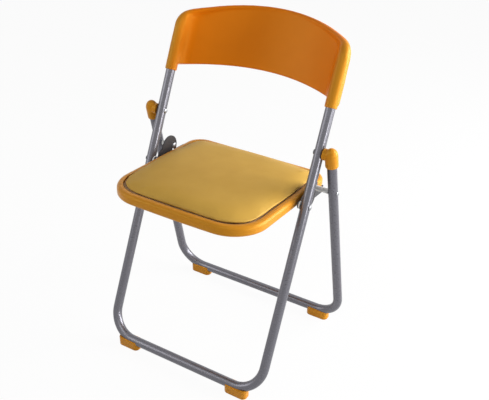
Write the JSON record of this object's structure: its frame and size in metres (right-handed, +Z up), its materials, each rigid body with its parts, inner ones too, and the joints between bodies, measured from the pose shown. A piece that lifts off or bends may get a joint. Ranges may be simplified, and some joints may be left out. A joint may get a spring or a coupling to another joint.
{
  "type": "folding chair",
  "caption": "Folding chair with crossed tube frames, a curved moulded backrest and a padded tray seat that tips down on slotted side brackets when the frames close.",
  "frame": {"origin": "on the floor under the middle of the open chair's bounding box", "axes": "+X to the sitter's left, -Y to the front, +Z up"},
  "size_m": [0.5078, 0.4549, 0.7537],
  "materials": {
    "silver_paint": "silver-grey metallic paint on bent tube",
    "orange_plastic": "satin moulded plastic, orange-yellow",
    "mustard_vinyl": "matt mustard vinyl with a fine grain",
    "black_paint": "black painted pressed sheet",
    "zinc_steel": "zinc plated rivets and screws",
    "white_nylon": "plain white nylon spacers",
    "plywood": "raw plywood board"
  },
  "bodies": {
    "front_frame": {"front_frame_tube": "silver_paint", "backrest": "orange_plastic", "backrest_screw_left": "zinc_steel", "backrest_screw_right": "zinc_steel", "front_foot_left": "orange_plastic", "front_foot_right": "orange_plastic", "seat_pivot_left": "zinc_steel", "seat_pivot_right": "zinc_steel", "pivot_spacer_left": "white_nylon", "pivot_spacer_right": "white_nylon"},
    "rear_frame": {"rear_frame_tube": "silver_paint", "elbow_cap_left": "orange_plastic", "elbow_cap_right": "orange_plastic", "fold_rivet_left": "zinc_steel", "fold_rivet_right": "zinc_steel", "rear_foot_left": "orange_plastic", "rear_foot_right": "orange_plastic", "slide_stud_left": "zinc_steel", "slide_stud_right": "zinc_steel", "stud_sleeve_left": "white_nylon", "stud_sleeve_right": "white_nylon"},
    "seat": {"seat_tray": "orange_plastic", "pad_board": "plywood", "seat_pad": "mustard_vinyl", "seat_bracket_left": "black_paint", "seat_bracket_right": "black_paint", "pad_screw_left_front": "zinc_steel", "pad_screw_left_rear": "zinc_steel", "pad_screw_right_front": "zinc_steel", "pad_screw_right_rear": "zinc_steel", "bracket_screw_front_left": "zinc_steel", "bracket_screw_front_right": "zinc_steel", "bracket_screw_rear_left": "zinc_steel", "bracket_screw_rear_right": "zinc_steel"}
  },
  "joints": [
    {"name": "rear_leg_fold", "type": "hinge", "parent": "front_frame", "child": "rear_frame", "pos_m": [0, 0.03175, 0.52315], "axis": [1, 0, 0], "range_deg": [-27, 0]},
    {"name": "seat_fold", "type": "hinge", "parent": "front_frame", "child": "seat", "pos_m": [0, -0.02051, 0.41602], "axis": [1, 0, 0], "range_deg": [0, 68.5]}
  ],
  "couplings": [
    {"joint": "seat_fold", "follows": "rear_leg_fold", "ratio": -2.537}
  ]
}
